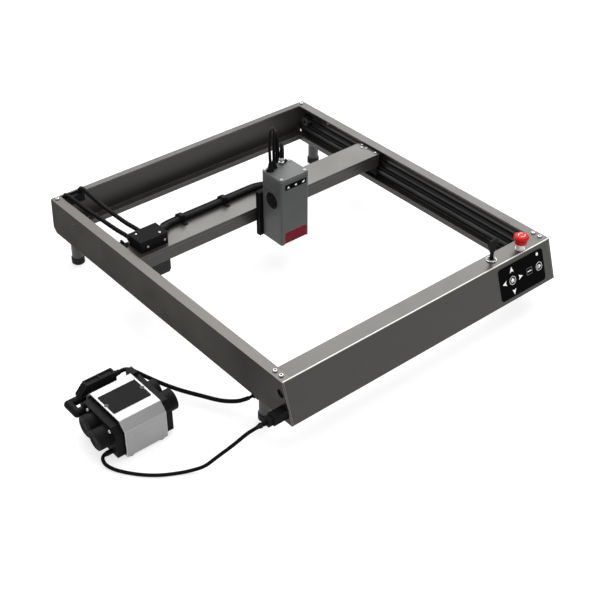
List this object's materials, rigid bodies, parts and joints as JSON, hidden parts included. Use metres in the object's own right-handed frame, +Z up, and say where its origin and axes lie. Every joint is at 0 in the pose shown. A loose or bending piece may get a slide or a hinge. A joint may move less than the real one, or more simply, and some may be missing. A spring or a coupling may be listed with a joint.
{
  "type": "desktop laser cutter",
  "caption": "Open rectangular frame on legs with a sliding gantry, a laser module on it, a sloped control panel, and a separate air pump joined by hose and cord.",
  "frame": {"origin": "on the table, under the middle of machine and pump together", "axes": "+X to the machine's right, +Y to its rear, +Z up"},
  "size_m": [0.7248, 0.6, 0.2317],
  "materials": {
    "frame_paint": "fine metallic powder coat, grey",
    "screw_steel": "bright, button head",
    "leg_metal": "satin, grey",
    "foot_rubber": "matt black",
    "rail_steel": "ground",
    "block_steel": "dark",
    "belt_rubber": "toothed, black",
    "motor_black": "satin black",
    "bracket_black": "satin black",
    "pulley_aluminium": "turned",
    "panel_black": "glossy black film",
    "board_green": "solder mask",
    "collar_white": "white",
    "stop_red": "bright red",
    "lock_chrome": "polished",
    "black_plastic": "black",
    "cable_black": "satin black",
    "pump_metal": "brushed, silver",
    "label_black": "black plate",
    "coil_copper": "enamelled winding",
    "armature_steel": "plain",
    "module_grey": "fine satin, grey green",
    "heatsink_aluminium": "plain",
    "lens_brass": "turned",
    "shield_red": "dark red, laser blocking"
  },
  "bodies": {
    "frame": {"front_panel": "frame_paint", "left_rail": "frame_paint", "right_rail": "frame_paint", "rear_panel": "frame_paint", "frame_screws": "screw_steel", "leg_posts": "leg_metal", "foot_pads": "foot_rubber", "y_guide_rails": "rail_steel", "y_belts": "belt_rubber", "y_motor": "motor_black", "belt_brackets": "bracket_black", "touch_panel": "panel_black", "main_board": "board_green", "stop_collar": "collar_white", "key_lock": "lock_chrome", "power_inlet": "black_plastic", "hose_fitting": "black_plastic", "cable_gland": "black_plastic", "gantry_cables": "cable_black", "pump_shell": "pump_metal", "pump_label": "label_black", "pump_valve_cap": "black_plastic", "pump_end_cap": "black_plastic", "pump_manifold": "black_plastic", "pump_feet": "foot_rubber", "pump_coil": "coil_copper", "air_hose": "cable_black", "pump_cable": "cable_black", "pump_plug": "cable_black"},
    "y_drive": {"y_drive_shaft": "rail_steel", "y_drive_pulleys": "pulley_aluminium"},
    "y_idler_left": {"y_idler_left": "pulley_aluminium"},
    "y_idler_right": {"y_idler_right": "pulley_aluminium"},
    "stop_stem": {"stop_stem": "stop_red"},
    "stop_head": {"stop_head": "stop_red"},
    "key": {"key": "black_plastic"},
    "pump_armature": {"pump_armature": "armature_steel"},
    "gantry": {"beam": "frame_paint", "beam_cover": "frame_paint", "end_brackets": "bracket_black", "rail_blocks": "block_steel", "junction_box": "black_plastic", "gantry_screws": "screw_steel", "x_guide_rail": "rail_steel", "x_belt": "belt_rubber", "x_motor": "motor_black", "beam_loom": "cable_black"},
    "x_pulley": {"x_pulley": "pulley_aluminium"},
    "x_idler": {"x_idler": "pulley_aluminium"},
    "x_carriage": {"carriage_bracket": "bracket_black", "carriage_block": "block_steel"},
    "lock_knob": {"lock_knob": "black_plastic"},
    "laser_module": {"module_leads": "cable_black", "module_housing": "module_grey", "module_cap": "module_grey", "heatsink": "heatsink_aluminium", "lens_barrel": "lens_brass", "laser_shield": "shield_red", "indicator_strip": "panel_black"},
    "fan_rotor": {"fan_rotor": "black_plastic"}
  },
  "joints": [
    {"name": "gantry_slide", "type": "slide", "parent": "frame", "child": "gantry", "axis": [0, 1, 0], "range_m": [-0.262, 0.125], "deforming": ["gantry_cables"]},
    {"name": "carriage_slide", "type": "slide", "parent": "gantry", "child": "x_carriage", "axis": [1, 0, 0], "range_m": [-0.192, 0.195], "deforming": ["beam_loom"]},
    {"name": "focus_slide", "type": "slide", "parent": "x_carriage", "child": "laser_module", "axis": [0, 0, 1], "range_m": [-0.035, 0.025], "deforming": ["module_leads"]},
    {"name": "fan_spin", "type": "hinge", "parent": "laser_module", "child": "fan_rotor", "pos_m": [0.096, 0.0385, 0.126], "axis": [1, 0, 0], "continuous": true},
    {"name": "lock_knob_turn", "type": "hinge", "parent": "x_carriage", "child": "lock_knob", "pos_m": [0.1485, 0.0663, 0.092], "axis": [1, 0, 0], "range_deg": [-180, 180]},
    {"name": "y_drive_spin", "type": "hinge", "parent": "frame", "child": "y_drive", "pos_m": [0.1075, -0.2687, 0.074], "axis": [1, 0, 0], "continuous": true},
    {"name": "y_idler_left_spin", "type": "hinge", "parent": "frame", "child": "y_idler_left", "pos_m": [-0.1415, 0.2725, 0.074], "axis": [1, 0, 0], "continuous": true},
    {"name": "y_idler_right_spin", "type": "hinge", "parent": "frame", "child": "y_idler_right", "pos_m": [0.3565, 0.2725, 0.074], "axis": [1, 0, 0], "continuous": true},
    {"name": "x_pulley_spin", "type": "hinge", "parent": "gantry", "child": "x_pulley", "pos_m": [-0.0825, 0.1105, 0.087], "axis": [0, 0, 1], "continuous": true},
    {"name": "x_idler_spin", "type": "hinge", "parent": "gantry", "child": "x_idler", "pos_m": [0.3375, 0.1105, 0.087], "axis": [0, 0, 1], "continuous": true},
    {"name": "stop_press", "type": "slide", "parent": "frame", "child": "stop_stem", "axis": [0, 0, -1], "range_m": [0, 0.004], "stiffness_N_per_m": 1200, "springref_m": -0.001},
    {"name": "stop_twist", "type": "hinge", "parent": "stop_stem", "child": "stop_head", "pos_m": [0.311, -0.271, 0.118], "axis": [0, 0, 1], "range_deg": [-30, 0], "stiffness_Nm_per_rad": 0.05},
    {"name": "key_turn", "type": "hinge", "parent": "frame", "child": "key", "pos_m": [0.2565, -0.264, 0.118], "axis": [0, 0, 1], "range_deg": [-90, 0]},
    {"name": "armature_stroke", "type": "slide", "parent": "frame", "child": "pump_armature", "axis": [1, 0, 0], "range_m": [-0.0015, 0.0015], "stiffness_N_per_m": 3000}
  ],
  "couplings": [
    {"joint": "y_drive_spin", "follows": "gantry_slide", "rad_per_m": 156.25},
    {"joint": "y_idler_left_spin", "follows": "gantry_slide", "rad_per_m": 156.25},
    {"joint": "y_idler_right_spin", "follows": "gantry_slide", "rad_per_m": 156.25},
    {"joint": "x_pulley_spin", "follows": "carriage_slide", "rad_per_m": 156.25},
    {"joint": "x_idler_spin", "follows": "carriage_slide", "rad_per_m": 156.25}
  ]
}
